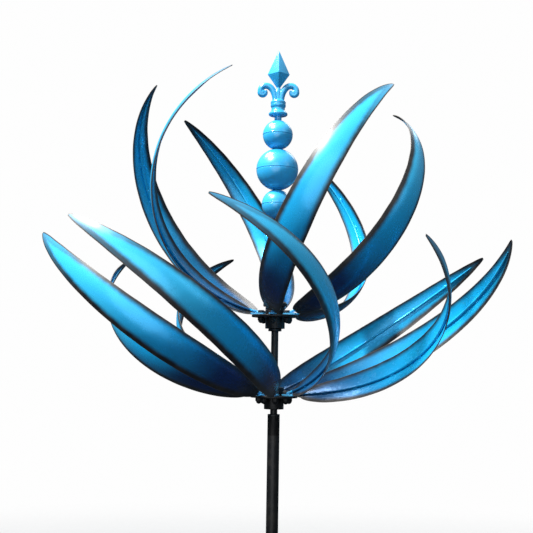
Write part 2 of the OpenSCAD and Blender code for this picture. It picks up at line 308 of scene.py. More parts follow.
def bake(obj):
    """Applies the object's modifiers."""
    dg = bpy.context.evaluated_depsgraph_get()
    mesh = bpy.data.meshes.new_from_object(obj.evaluated_get(dg))
    old = obj.data
    obj.modifiers.clear()
    obj.data = mesh
    bpy.data.meshes.remove(old)
    mesh.name = obj.name
    mesh.polygons.foreach_set("use_smooth", [True] * len(mesh.polygons))
    return obj


# ---------- materials ----------

class Mat:
    """A small builder for node materials."""

    def __init__(self, name):
        self.mat = bpy.data.materials.new(name)
        self.mat.use_nodes = True
        self.t = self.mat.node_tree
        self.bsdf = self.t.nodes["Principled BSDF"]
        self.obj = self.new("ShaderNodeTexCoord").outputs["Object"]

    def new(self, kind, **props):
        n = self.t.nodes.new(kind)
        for k, v in props.items():
            setattr(n, k, v)
        return n

    def put(self, sock, val):
        if isinstance(val, bpy.types.NodeSocket):
            self.t.links.new(val, sock)
        elif val is not None:
            if hasattr(sock.default_value, "__len__") and not hasattr(val, "__len__"):
                val = (val, val, val, 1.0)[:len(sock.default_value)]
            elif hasattr(val, "__len__") and len(sock.default_value) == 4 and len(val) == 3:
                val = (*val, 1.0)
            sock.default_value = val

    def attr(self, name):
        return self.new("ShaderNodeAttribute", attribute_name=name).outputs["Fac"]

    def math(self, op, a, b):
        n = self.new("ShaderNodeMath", operation=op)
        self.put(n.inputs[0], a)
        self.put(n.inputs[1], b)
        return n.outputs[0]

    def add(self, a, b):
        return self.math("ADD", a, b)

    def times(self, a, b):
        return self.math("MULTIPLY", a, b)

    def around(self, noise, amount):
        """Noise about nought, amount from its lowest to its highest."""
        return self.times(self.math("SUBTRACT", noise, 0.5), amount)

    def span(self, val, lo, hi, out_lo=0.0, out_hi=1.0):
        n = self.new("ShaderNodeMapRange", interpolation_type="SMOOTHSTEP")
        self.put(n.inputs[0], val)
        for k, x in zip(range(1, 5), (lo, hi, out_lo, out_hi)):
            n.inputs[k].default_value = x
        return n.outputs[0]

    def mix(self, fac, a, b):
        n = self.new("ShaderNodeMix", data_type="RGBA")
        self.put(n.inputs["Factor"], fac)
        self.put(n.inputs[6], a)
        self.put(n.inputs[7], b)
        return n.outputs[2]

    def blend(self, fac, a, b):
        n = self.new("ShaderNodeMix", data_type="FLOAT")
        self.put(n.inputs[0], fac)
        self.put(n.inputs[2], a)
        self.put(n.inputs[3], b)
        return n.outputs[0]

    def noise(self, scale, detail=3.0, rough=0.55, vec=None):
        n = self.new("ShaderNodeTexNoise")
        self.put(n.inputs["Vector"], vec or self.obj)
        n.inputs["Scale"].default_value = scale
        n.inputs["Detail"].default_value = detail
        n.inputs["Roughness"].default_value = rough
        return n.outputs["Fac"]

    def cells(self, scale):
        n = self.new("ShaderNodeTexVoronoi")
        self.put(n.inputs["Vector"], self.obj)
        n.inputs["Scale"].default_value = scale
        return n.outputs["Distance"]

    def combine(self, x, y, z):
        n = self.new("ShaderNodeCombineXYZ")
        for k, v in enumerate((x, y, z)):
            self.put(n.inputs[k], v)
        return n.outputs[0]

    def bump(self, height, strength, distance):
        n = self.new("ShaderNodeBump")
        n.inputs["Strength"].default_value = strength
        n.inputs["Distance"].default_value = distance
        self.put(n.inputs["Height"], height)
        self.put(self.bsdf.inputs["Normal"], n.outputs[0])

    def set(self, **vals):
        names = dict(color="Base Color", metal="Metallic", rough="Roughness", coat="Coat Weight",
                     coat_rough="Coat Roughness", spec="Specular IOR Level")
        for k, v in vals.items():
            self.put(self.bsdf.inputs[names[k]], v)
        return self.mat


def candy_blue():
    """Candy coat over a leaf: along, edge, inner, across and seed are stored on its points."""
    m = Mat("candy_blue")
    along, edge, inner = m.attr("along"), m.attr("edge"), m.attr("inner")
    across, seed = m.attr("across"), m.attr("seed")
    drift = m.noise(9, 2)
    fine = m.noise(70, 4, 0.6)
    grit = m.noise(420, 3, 0.6)
    outside = m.span(inner, 0.3, 0.7, 1.0, 0.0)
    # cyan towards the tip, navy towards the root; in the hollow that navy is partly the paint's own and
    # partly painted shade from the neighbouring leaves
    reach = m.add(along, m.around(drift, 0.22))
    body = m.mix(m.span(reach, 0.14, 0.42), (0.001, 0.022, 0.10), (0.005, 0.34, 0.70))
    body = m.mix(m.span(reach, 0.38, 0.66), body, (0.034, 0.49, 0.84))
    hollow = m.mix(m.span(reach, 0.10, 0.48), (0.003, 0.10, 0.27), (0.008, 0.43, 0.80))
    blue = m.mix(m.span(inner, 0.3, 0.7), body, hollow)
    # airbrushed soot along the rim, wider on one side
    soot = m.mix(m.span(fine, 0.40, 0.62), (0.0025, 0.003, 0.005), (0.014, 0.011, 0.009))
    lean = m.times(m.span(across, -0.7, 0.7), -2.6)
    dist = m.add(m.add(edge, m.around(fine, 3.0)), lean)
    dist = m.add(dist, m.span(inner, 0.7, 0.95, 0.0, 1.2))
    # the soot fades out towards the tip on the outside's sunny half, leaving room there for the pale painted
    # reflection
    sunny = m.times(outside, m.span(across, -0.35, 0.35, 1.0, 0.25))
    fade = m.times(m.span(along, 0.66, 0.97, 0.0, 0.75), sunny)
    fade = m.times(fade, m.span(edge, 0.7, 2.0))
    border = m.math("MAXIMUM", m.span(dist, 1.3, 8.8), fade)
    # burnt root, pale tip outside, which is a painted reflection of sky and glare, and charred tip inside
    root = m.span(reach, 0.0, 0.13)
    burnt = m.mix(m.span(fine, 0.4, 0.65), (0.002, 0.006, 0.012), (0.024, 0.022, 0.010))
    col = m.mix(root, burnt, blue)
    tip = m.span(m.add(along, m.around(fine, 0.10)), 0.80, 0.99)
    col = m.mix(m.times(m.times(tip, outside), 0.55), col, (0.13, 0.33, 0.56))
    charred = m.times(tip, m.span(inner, 0.7, 0.95, 0.0, 0.85))
    col = m.mix(charred, col, soot)
    col = m.mix(border, soot, col)
    # bare metal on the cut edge
    lip = m.span(m.add(edge, m.around(grit, 1.2)), 0.0, 0.6, 1.0, 0.0)
    col = m.mix(m.times(lip, 0.5), col, (0.14, 0.115, 0.09))
    # scuffs that run along the leaf, mostly in its hollow; their pale colour is partly real wear and partly
    # painted glare strips
    run = m.combine(m.times(along, 9.0), m.times(across, 26.0), m.times(seed, 31.0))
    streak = m.noise(6.0, 5, 0.7, vec=run)
    scuff_and_glare = m.times(m.span(streak, 0.60, 0.70), m.span(fine, 0.47, 0.60))
    scuff_and_glare = m.times(scuff_and_glare, m.span(inner, 0.3, 0.7, 0.05, 0.85))
    scuff_and_glare = m.times(scuff_and_glare, m.span(edge, 3.0, 7.0))
    col = m.mix(scuff_and_glare, col, (0.40, 0.64, 0.82))
    metal = m.blend(border, 0.0, 0.28)
    rough = m.add(m.blend(border, 0.46, 0.27), m.around(fine, 0.08))
    m.bump(m.add(m.noise(24, 2), m.times(grit, 0.012)), 0.38, 0.0018)
    return m.set(color=col, metal=metal, rough=rough, coat=0.22, coat_rough=0.30, spec=0.45)


def sky_gloss():
    m = Mat("sky_gloss")
    drift = m.noise(18, 3)
    fine = m.noise(160, 4, 0.6)
    col = m.mix(m.span(drift, 0.3, 0.7), (0.020, 0.31, 0.62), (0.032, 0.39, 0.72))
    speck = m.times(m.span(m.cells(420), 0.05, 0.11, 1.0, 0.0), m.span(fine, 0.56, 0.62))
    col = m.mix(m.times(speck, 0.6), col, (0.35, 0.62, 0.85))
    rough = m.add(0.24, m.times(fine, 0.10))
    m.bump(m.add(fine, m.times(m.noise(45, 2), 2.0)), 0.05, 0.0006)
    return m.set(color=col, metal=0.0, rough=rough, coat=0.45, coat_rough=0.16, spec=0.6)


def black_paint():
    m = Mat("black_paint")
    fine = m.noise(90, 4, 0.6)
    grit = m.noise(700, 2)
    col = m.mix(m.span(fine, 0.45, 0.7), (0.0025, 0.0025, 0.003), (0.009, 0.008, 0.007))
    worn = m.times(m.span(m.noise(240, 5, 0.7), 0.66, 0.72), m.span(fine, 0.5, 0.6))
    col = m.mix(m.times(worn, 0.6), col, (0.09, 0.075, 0.06))
    rough = m.add(0.30, m.times(fine, 0.22))
    m.bump(m.add(grit, m.times(fine, 1.5)), 0.22, 0.0004)
    return m.set(color=col, metal=0.0, rough=rough, spec=0.32)


def bare_metal(name, tone, rough):
    """Plated or ground steel, darker in patches."""
    m = Mat(name)
    fine = m.noise(220, 4, 0.6)
    col = m.mix(m.span(fine, 0.35, 0.65), tuple(c * 0.7 for c in tone), tone)
    m.bump(fine, 0.1, 0.0003)
    return m.set(color=col, metal=0.9, rough=m.add(rough, m.times(fine, 0.15)))


MATS = {
    "candy_blue": candy_blue(),
    "sky_gloss": sky_gloss(),
    "black_paint": black_paint(),
    "dark_zinc": bare_metal("dark_zinc", (0.09, 0.09, 0.095), 0.35),
    "bright_steel": bare_metal("bright_steel", (0.45, 0.46, 0.48), 0.22),
}


def finish_piece(obj, body, slot, *nodes):
    """Gives a piece its finish, the body it rides on and the CAD nodes it stands in for."""
    obj.data.materials.clear()
    obj.data.materials.append(MATS[slot])
    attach(obj, body)
    if nodes:
        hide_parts(*nodes)
    return obj


# ---------- leaves ----------

# mesh steps along and across a leaf, and how far along its bend it reaches
ALONG_N, ACROSS_N = 132, 22
FIRST, LAST = 0.0025, 0.9965
# how far the cut edge lies inside the nominal outline, and how deep its waves are
EDGE_TRIM, WAVE_DEPTH, WAVES = 0.75, 0.10, (5, 9, 14)
# below this half width the trim eases off, so the ends stay closed
TRIM_EASE = 6
# how far the middle of the sheet's edge stands out
RIM_GROW = 0.15
# below 1 this crowds the points across a leaf towards its edges
CROWD = 0.85
# seeds of the leaves' edges and of the rods' tack welds
LEAF_SEED, ROD_SEED = 17, 5


def leaf_section():
    """Points round a leaf's section: place across, radius of its crown, growth of the rim, side."""
    u = np.linspace(-1, 1, ACROSS_N + 1)
    u = np.sign(u) * np.abs(u) ** CROWD
    section = [(x, CROWN + SHEET / 2, 0.0, 0.0) for x in u]
    section.append((1.0, CROWN, RIM_GROW, 0.5))
    section += [(x, CROWN - SHEET / 2, 0.0, 1.0) for x in u[::-1]]
    section.append((-1.0, CROWN, RIM_GROW, 0.5))
    return section


def leaf(name, r, i):
    """A pressed sheet leaf. Its attributes tell the paint how far along and across a point lies."""
    root = math.degrees(LEAF_GAP / r["bend"])
    t = (1 - np.cos(np.pi * np.linspace(0, 1, ALONG_N + 1))) / 2
    t = np.clip(t, FIRST, LAST)
    theta = np.radians(root + (r["arc"] - root) * t)
    h = half_width(t, r["early"])
    rng = np.random.RandomState(LEAF_SEED + i + 10 * r["count"])
    # hand-cut edge, very slightly wavy, always inside the nominal outline
    wave = sum(rng.rand() * np.sin(2 * np.pi * (k * t + rng.rand())) for k in WAVES) * WAVE_DEPTH
    h = h - (EDGE_TRIM + wave) * np.clip(h / TRIM_EASE, 0, 1)
    section = leaf_section()
    verts, along, edge, inner, across = [], [], [], [], []
    for k in range(ALONG_N + 1):
        for x, rad, grow, side in section:
            phi = math.asin(max(-1, min(1, h[k] / CROWN))) * x
            phi += math.copysign(grow / CROWN, x) if grow else 0.0
            rr = r["bend"] - INSET - CROWN + rad * math.cos(phi)
            verts.append((rr * math.cos(theta[k]), rr * math.sin(theta[k]), rad * math.sin(phi)))
            along.append(t[k])
            edge.append(h[k] * (1 - abs(x)) if not grow else 0.0)
            inner.append(side)
            across.append(x * h[k] / LEAF_W * 2)
    m = len(section)
    faces = []
    for k in range(ALONG_N):
        for j in range(m):
            q = (j + 1) % m
            faces.append((k * m + j, (k + 1) * m + j, (k + 1) * m + q, k * m + q))
    faces.append(tuple(range(m)))
    faces.append(tuple(ALONG_N * m + j for j in range(m))[::-1])
    attrs = dict(along=along, edge=edge, inner=inner, across=across, seed=[rng.rand()] * len(verts))
    return make(name, verts, faces, bend_place(r, i), attrs, sharp=LEAF_SHARP)


# distance from the bolt, along the bend, at which the rod starts
ROD_START = 5.6
# the rod is drawn to a point over this many radians, and loses this share of its radius
TAPER, TAPER_LOSS = 0.20, 0.75
# round eye of the bolt tab, its neck and its toe, and their half widths
EYE_R, NECK, TOE, NECK_HALF, TOE_HALF = 5.2, 13.0, 14.4, 2.4, 1.2
# tack welds on each side of a rod, and the stretch of the rod that they lie on
TACKS, TACK_FROM, TACK_TO = 7, 0.10, 0.86
# a weld's half width and half length, how far the length and place vary, and where it sits
TACK_WIDE, TACK_LONG, TACK_VARY, TACK_DRIFT = 1.3, 3.2, 1.6, 0.02
TACK_SUNK, TACK_ASIDE = 0.35, 1.75
# how deep a rod is set into its leaf, as in the CAD
WELD_DEPTH = 0.01
# what a rod tells its paint: least share along the leaf, mm from an edge, hollow side, place across
ROD_ALONG, ROD_EDGE, ROD_INNER, ROD_ACROSS = 0.12, 14.0, 0.55, -0.7


def tack_weld(r, i, angle, side, length):
    """A bead where the rod's flank meets the leaf."""
    bm = bmesh.new()
    bmesh.ops.create_icosphere(bm, subdivisions=2, radius=1.0)
    size = Matrix.Diagonal((1.0, length, TACK_WIDE, 1))
    flank = Matrix.Translation((r["bend"] - INSET - SHEET / 2 - TACK_SUNK, 0, side * TACK_ASIDE))
    at = Matrix.Rotation(angle, 4, "Z") @ flank @ size
    bm.transform(Matrix.Scale(MM, 4) @ bend_place(r, i) @ at)
    return from_bmesh("bead", bm)


def spine_paint(obj, r, i, seed):
    """Stores the paint's attributes on a rod: dark where it leaves the root, paler blue on the tab, which
    takes the leaf tip's pale painted reflection.
    """
    co = np.array([v.co for v in obj.data.vertices]) / MM
    inv = np.array(bend_place(r, i).inverted())
    loc = co @ inv[:3, :3].T + inv[:3, 3]
    ang = np.arctan2(loc[:, 1], loc[:, 0])
    on_tab = ang * r["bend"] < LEAF_GAP
    along = np.clip(ang / math.radians(r["arc"]), ROD_ALONG, 1)
    # the tab counts as a tip, so it takes the tip's pale painted reflection
    along[on_tab] = 1.0
    n = len(co)
    inner = np.where(on_tab, 0.0, ROD_INNER)
    set_attributes(obj.data, dict(along=along, edge=np.full(n, ROD_EDGE), inner=inner,
                                  across=np.full(n, ROD_ACROSS), seed=np.full(n, seed)))


def spine(name, r, i):
    """The rod: forged flat at its bolt tab, round along the leaf, drawn to a point."""
    begin, finish = ROD_START / r["bend"], math.radians(r["arc"] * SPINE_SHARE)
    steps = 110
    th = np.linspace(begin, finish, steps)
    line = r["bend"] - INSET - SHEET / 2 - ROD + WELD_DEPTH
    rng = np.random.RandomState(ROD_SEED + i + 10 * r["count"])
    tail = np.clip((th - (finish - TAPER)) / TAPER, 0, 1)
    rad = ROD * (1 - TAPER_LOSS * tail ** 1.6)
    centre = line + (ROD - rad)
    path = np.stack([centre * np.cos(th), centre * np.sin(th), np.zeros(steps)], 1)
    bar = sweep(name + "_bar", path, rad, sides=20, matrix=bend_place(r, i), up=(0, 0, 1))
    eye = [(EYE_R * math.cos(a), EYE_R * math.sin(a)) for a in np.radians(np.linspace(90, 270, 25))]
    neck = r["side"]
    outline = eye + [(NECK, neck - NECK_HALF), (TOE, neck - TOE_HALF), (TOE, neck + TOE_HALF),
                     (NECK, neck + NECK_HALF)]
    tab = prism(name + "_tab", outline, PLATE_H, PLATE_H + TAB, bolt_place(r, i), 0.45)
    beads = []
    for at in np.linspace(TACK_FROM, TACK_TO, TACKS):
        angle = begin + (finish - begin) * (at + rng.uniform(-TACK_DRIFT, TACK_DRIFT))
        for side in (-1, 1):
            beads.append(tack_weld(r, i, angle, side, TACK_LONG + rng.rand() * TACK_VARY))
    obj = join(name, [bar, tab] + beads)
    spine_paint(obj, r, i, rng.rand())
    return obj


for key, r in ROTORS.items():
    body = key + "_rotor"
    for i in range(r["count"]):
        finish_piece(leaf(f"{key}_leaf_{i + 1}_sheet", r, i), body, "candy_blue", f"{key}_leaf_{i + 1}")
        finish_piece(spine(f"{key}_spine_{i + 1}_rod", r, i), body, "candy_blue", f"{key}_spine_{i + 1}")


# ---------- hubs ----------

# plate, bearing housing and its bore, and the land between the two bearings
PLATE_R, HOUSING_R, BORE_R, LAND_R = 31.0, 13.0, 11.0, 9.5
HOUSING_FOOT, HOUSING_TOP, LAND_FOOT, LAND_TOP = -16.5, 12.0, -9.0, 4.5
# bearing: height, inside of its outer race, inside of its shield and how deep the shield is sunk
BEARING_H, RACE_IN, SHIELD_IN, SHIELD_SUNK = 7.0, 8.9, 6.5, 0.5
# feet of the two bearings and middles of the two welds, from the plate's middle
BEARING_FEET = (("low", -16.0), ("high", 4.5))
HUB_WELDS = (("top", 1.6), ("under", -1.6))
# hexagons of the bolts and nuts: corner radius and heights, and the radius of a nut's dome
HEX_R, HEAD_H, NUT_H, DOME_R = 4.62, 3.5, 4.5, 3.7
# degrees that each bolt is turned against the one before, and its nut against it
BOLT_TURN, NUT_TURN = 17, 11


def hexagon(radius, spin=0.0):
    corners = [math.radians(60 * k + spin) for k in range(6)]
    return [(radius * math.cos(a), radius * math.sin(a)) for a in corners]


def band(inner, outer, foot, top):
    """Profile of a plain ring."""
    return [(inner, foot), (outer, foot), (outer, top), (inner, top)]


def weld_ring(name, radius, z, size, seed):
    """A stacked-coin weld bead round a tube."""
    verts, faces = [], []
    segs, sides, coins = 180, 10, 44
    ripple, uneven = 0.14, 0.12
    rng = np.random.RandomState(seed)
    wob = rng.rand(segs) * uneven
    for s in range(segs):
        a = 2 * math.pi * s / segs
        rr = size * (1 + ripple * math.cos(a * coins) + wob[s])
        for k in range(sides):
            b = 2 * math.pi * k / sides
            q = radius + rr * math.cos(b)
            verts.append((q * math.cos(a), q * math.sin(a), z + rr * math.sin(b)))
    for s in range(segs):
        for k in range(sides):
            p, q = (s + 1) % segs, (k + 1) % sides
            faces.append((s * sides + k, p * sides + k, p * sides + q, s * sides + q))
    return make(name, verts, faces)


def hub(key, r):
    """Plate, bearing housing with its two welds, and the outer races with their shields."""
    body, z = key + "_rotor", r["z"]
    disc = band(HOUSING_R, PLATE_R, -PLATE_H, PLATE_H)
    plate = lathe(f"{key}_plate_disc", disc, z, segs=128, radius=0.6)
    finish_piece(plate, body, "black_paint", f"{key}_hub_plate")
    profile = band(BORE_R, HOUSING_R, HOUSING_FOOT, HOUSING_TOP)
    profile += [(BORE_R, LAND_TOP), (LAND_R, LAND_TOP), (LAND_R, LAND_FOOT), (BORE_R, LAND_FOOT)]
    house = lathe(f"{key}_housing_tube", profile, z, segs=128, radius=0.6)
    finish_piece(house, body, "black_paint", f"{key}_hub_housing")
    for tag, dz in HUB_WELDS:
        weld = weld_ring(f"{key}_housing_weld_{tag}", HOUSING_R + 0.1, z + dz, 0.8, r["count"])
        finish_piece(weld, body, "black_paint")
    ring = band(RACE_IN, BORE_R, 0, BEARING_H)
    cover = band(SHIELD_IN, RACE_IN, SHIELD_SUNK, BEARING_H - SHIELD_SUNK)
    for tag, dz in BEARING_FEET:
        race = lathe(f"{key}_bearing_outer_{tag}", ring, z + dz, segs=96, radius=0.3)
        finish_piece(race, body, "bright_steel", f"{key}_outer_races")
        shield = lathe(f"{key}_bearing_shield_{tag}", cover, z + dz, segs=96, radius=0.2)
        finish_piece(shield, body, "dark_zinc", f"{key}_outer_races")


def bolt(key, r, i):
    """Bolt i with its head on the tab, and the domed nut under the plate."""
    body, place = key + "_rotor", bolt_place(r, i)
    spin, seat = BOLT_TURN * i, PLATE_H + TAB
    name = f"{key}_bolt_{i + 1}"
    head = prism(name + "_head", hexagon(HEX_R, spin), seat, seat + HEAD_H, place, bevel=0.4)
    disc = [(0, 0), (3.6, 0), (3.2, 0.25), (0, 0.25)]
    face = lathe(name + "_face", disc, seat + HEAD_H - 0.1, segs=32, matrix=place, radius=0.1, closed=False)
    finish_piece(join(name, [head, face]), body, "dark_zinc", f"{key}_bolts")
    name = f"{key}_nut_{i + 1}"
    low = -PLATE_H - NUT_H
    nut = prism(name + "_hex", hexagon(HEX_R, spin + NUT_TURN), low, -PLATE_H, place, bevel=0.4)
    curve = [(DOME_R * math.cos(a), -DOME_R * math.sin(a)) for a in np.radians(np.linspace(6, 84, 9))]
    profile = [(DOME_R + 0.05, 0.6), (DOME_R + 0.05, 0)] + curve + [(0, -DOME_R)]
    cap = lathe(name + "_dome", profile, low, segs=40, matrix=place, radius=0.1, closed=False)
    finish_piece(join(name, [nut, cap]), body, "black_paint", f"{key}_nuts")


for key, r in ROTORS.items():
    hub(key, r)
    for i in range(r["count"]):
        bolt(key, r, i)


# ---------- column ----------

# outside of the pole, inside of its tubes, the axle, and the shaft between the hubs
POLE_R, POLE_BORE, AXLE_R, SHAFT_R = 8.0, 6.8, 4.0, 4.75
# ground fork: half length, half depth, cut corner and thickness of its bar, and its socket
BAR_X, BAR_Y, BAR_CUT, BAR_H = 75, 10, 2, 6
SOCKET_R, SOCKET_TOP = 10.5, 110
# prongs: radius, blunted point, and place across, shoulder and tip of each
PRONG_R, PRONG_POINT = 5, 0.6
PRONGS = ((-62, -175, -200), (62, -175, -200), (0, -200, -230))


def mm_box(node):
    lo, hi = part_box(node)
    return lo / MM, hi / MM


def column(name, slot, profile, z, node, radius, segs=96):
    """A turned piece of the fixed column."""
    turned = lathe(name, profile, z, segs=segs, radius=radius)
    return finish_piece(turned, "column", slot, node)


def tube(name, node, inner, radius):
    """A plain black ring or tube that fills its CAD node's box."""
    lo, hi = mm_box(node)
    column(name, "black_paint", band(inner, hi.x, lo.z, hi.z), 0.0, node, radius)


tube("neck_spacer", "lower_spacer", AXLE_R, 0.2)
tube("hub_spacer_tube", "middle_spacer", AXLE_R, 0.2)
tube("stop_ring", "stop_collar", SHAFT_R, 0.5)
tube("riser", "riser_tube", AXLE_R, 0.2)
tube("pole_section_lower", "lower_pole", POLE_BORE, 0.4)
tube("pole_section_upper", "upper_pole", POLE_BORE, 0.4)
tube("pole_top_plug", "pole_plug", AXLE_R, 0.5)

cap_profile = [(AXLE_R, 0), (5.5, 0), (5.5, 1.2), (15.4, 1.2), (16, 2), (16, 5.2), (14, 7.5), (AXLE_R, 7.5)]
cap_foot = mm_box("rain_cap")[0].z
column("rain_cap_turned", "black_paint", cap_profile, cap_foot, "rain_cap", radius=0.5, segs=128)

# a sleeve with a raised band at each end
coupler_profile = [(POLE_R, 0), (9.6, 0), (10.4, 0.8), (10.4, 12), (10.0, 12.6), (10.0, 47.4), (10.4, 48),
                   (10.4, 59.2), (9.6, 60), (POLE_R, 60)]
coupler_foot = mm_box("pole_coupler")[0].z
column("pole_coupler_sleeve", "black_paint", coupler_profile, coupler_foot, "pole_coupler", radius=0.5)


def face_front(z):
    """Local +Z looks along -Y, at height z on the pole."""
    return Matrix.Translation((0, 0, z)) @ rot(90, "X")


def coupler_screws():
    """Two round-headed screws with a drive hole."""
    lo, hi = mm_box("coupler_screws")
    head_r = 3.6
    profile = [(0, 8), (2, 8), (2, 10.5), (head_r, 10.5), (head_r, 12.4), (3.2, 13.0), (1.7, 13.0),
               (1.7, 11.6), (0, 11.6)]
    for tag, z in (("low", lo.z + head_r), ("high", hi.z - head_r)):
        screw = lathe("screw_body", profile, segs=48, matrix=face_front(z), radius=0.25, closed=False)
        finish_piece(screw, "column", "dark_zinc", "coupler_screws")
        screw.name = screw.data.name = f"coupler_screw_{tag}"


def clamp_screw():
    """The hexagon screw that holds the pole in the fork's socket."""
    lo, hi = mm_box("fork_clamp_screw")
    place = face_front((lo.z + hi.z) / 2)
    rod = [(0, POLE_R), (3, POLE_R), (3, 18), (0, 18)]
    shank = lathe("clamp_shank", rod, segs=48, matrix=place, radius=0.4, closed=False)
    head = prism("clamp_head", hexagon(5.8), 13, 17, place, bevel=0.4)
    finish_piece(join("clamp_screw", [shank, head]), "column", "dark_zinc", "fork_clamp_screw")


def ground_fork():
    """Step bar, socket and three prongs, welded."""
    x, y, cut = BAR_X, BAR_Y, BAR_CUT
    outline = [(-x, cut - y), (cut - x, -y), (x - cut, -y), (x, cut - y),
               (x, y - cut), (x - cut, y), (cut - x, y), (-x, y - cut)]
    bar = prism("fork_bar", outline, 0, BAR_H, bevel=0.8)
    sock = lathe("fork_socket", band(POLE_R, SOCKET_R, BAR_H - 0.1, SOCKET_TOP), segs=96, radius=0.5)
    prongs = []
    for k, (across, low, tip) in enumerate(PRONGS):
        profile = [(0, 0.5), (PRONG_R, 0.5), (PRONG_R, low), (PRONG_POINT, tip), (0, tip)]
        place = Matrix.Translation((across, 0, 0))
        prongs.append(lathe(f"prong_{k}", profile, segs=64, matrix=place, radius=0.8, closed=False))
    weld = weld_ring("fork_weld", SOCKET_R + 0.1, BAR_H + 0.2, 1.2, 3)
    fork = join("ground_fork_weldment", [bar, sock] + prongs + [weld])
    finish_piece(fork, "column", "black_paint", "ground_fork")


coupler_screws()
clamp_screw()
ground_fork()


# ---------- balls ----------

# flat rubbed on each pole of a ball, and the wall of its pressed halves
BALL_FLAT, WALL = 4.6, 0.9
# height above the seam at which the lip begins, and depth below it at which the tuck begins
LIP_FROM, TUCK_FROM = 1.7, 0.9


def ball(tag, radius):
    """Two pressed half shells: the upper one's rolled lip laps over the lower one."""
    lower, upper = f"{tag}_ball_lower_half", f"{tag}_ball_upper_half"
    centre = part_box(upper)[0].z / MM
    flat = math.asin(BALL_FLAT / radius)
    inner_r = radius - WALL
    # each ends at the seam: a rolled lip on the upper half, a tucked edge on the lower one
    lip = [(radius + 0.02, 1.5), (radius + 0.10, 1.0), (radius + 0.10, 0.35), (radius - 0.05, 0.0)]
    tuck = [(radius - 0.10, -0.7), (radius - 0.45, -0.35), (radius - 0.5, 0.0)]
    for node, sign in ((lower, -1), (upper, 1)):
        angles = np.linspace(flat, math.pi / 2, 64)
        out = [(radius * math.sin(a), sign * radius * math.cos(a)) for a in angles]
        if sign > 0:
            out = [p for p in out if p[1] > LIP_FROM] + lip
        else:
            out = [p for p in out if p[1] < -TUCK_FROM] + tuck
        angles = np.linspace(math.pi / 2, flat, 40)
        inside = [(inner_r * math.sin(a), sign * inner_r * math.cos(a)) for a in angles]
        pole = [(AXLE_R, sign * q * math.cos(flat)) for q in (radius, inner_r)]
        profile = [pole[0]] + out + inside + [pole[1]]
        shell = lathe(node + "_shell", profile, centre, segs=160, radius=0.05, sharp=45)
        finish_piece(shell, "column", "sky_gloss", node)


SMALL, LARGE = 20.2, 28.2
ball("bottom", SMALL)
ball("middle", LARGE)
ball("top", SMALL)


# ---------- fleur-de-lis finial ----------

# spear: foot and waist above the finial's foot, and half its width at the waist
SPEAR_FOOT, SPEAR_WAIST, SPEAR_HALF = 43.0, 64.0, 15.4
# an arm rolls up round this place (out from the stem, above the foot) at this radius
CURL, CURL_R = (21.2, 38.9), 3.5
# top of an arm, where its rise meets its fall
ARM_TOP = (15.2, 48.1)
# turned foot and collar, from the underside up
FOOT_PROFILE = [(0, 0.2), (4.8, 0.2), (4.8, 6.3), (11.9, 6.9), (12.8, 8.1), (12.8, 10.1), (10.9, 11.5),
                (9.3, 14), (8.9, 17.4), (9.9, 18.7), (10.3, 20.4), (10.3, 22.2), (9.7, 22.9), (10.3, 23.6),
                (10.3, 25.3), (9.7, 26.9), (7.9, 27.7), (3, 29.9), (0, 29.9)]
CORE_PROFILE = [(0, 28), (3.9, 28), (3.9, 40), (2.6, 45.5), (0, 45.5)]
# grain of the melted casting in metres, and how its corners are softened
GRAIN, SOFTEN, SOFTEN_TIMES = 0.00042, 0.5, 5


def blob(name, at, radius, stretch):
    """A smooth lump at a place in mm."""
    bm = bmesh.new()
    bmesh.ops.create_uvsphere(bm, u_segments=40, v_segments=24, radius=radius * MM)
    bm.transform(Matrix.Translation(Vector(at) * MM) @ Matrix.Diagonal((*stretch, 1)))
    return from_bmesh(name, bm)


def bezier(p0, p1, p2, p3, count):
    t = np.linspace(0, 1, count)[:, None]
    p0, p1, p2, p3 = (np.array(p, float) for p in (p0, p1, p2, p3))
    return (1 - t) ** 3 * p0 + 3 * t * (1 - t) ** 2 * p1 + 3 * t * t * (1 - t) * p2 + t ** 3 * p3


def finial_arm(side, base):
    """Spreads up and outwards from the stem, over the top, and rolls inwards at its end."""
    rise = bezier((3.6, 25), (3.7, 35), (7.4, 46.6), ARM_TOP, 40)
    over = bezier(ARM_TOP, (19.6, 49.0), (24.4, 46.6), (24.5, 40.2), 24)[1:]
    turn = np.radians(np.linspace(20, -215, 40))
    roll = np.stack([CURL[0] + CURL_R * np.cos(turn), CURL[1] + CURL_R * np.sin(turn)], 1)[1:]
    line = np.concatenate([rise, over, roll])
    # a little fuller on the way up, thinner where it rolls in
    size = np.interp(np.arange(len(line)), [0, 30, 62, len(line) - 1], [4.1, 4.4, 3.9, 3.1])
    path = np.stack([side * line[:, 0], np.zeros(len(line)), base + line[:, 1]], 1)
    arm = sweep(f"fin_arm_{side}", path, size, sides=28)
    boss = blob("boss", (side * CURL[0], 0, base + CURL[1]), 4.2, (1, 0.9, 1))
    return [arm, boss]


def finial_casting(base):
    """Foot, stem and arms, melted into one casting with soft corners."""
    parts = [lathe("fin_base", FOOT_PROFILE, base, segs=112, radius=0.5, closed=False)]
    parts += finial_arm(1, base) + finial_arm(-1, base)
    parts.append(lathe("fin_core", CORE_PROFILE, base, segs=48, radius=0.4, closed=False))
    casting = join("finial_casting", parts)
    melt = casting.modifiers.new("cast", "REMESH")
    melt.mode, melt.voxel_size = "VOXEL", GRAIN
    soft = casting.modifiers.new("soft", "SMOOTH")
    soft.factor, soft.iterations = SOFTEN, SOFTEN_TIMES
    return bake(casting)


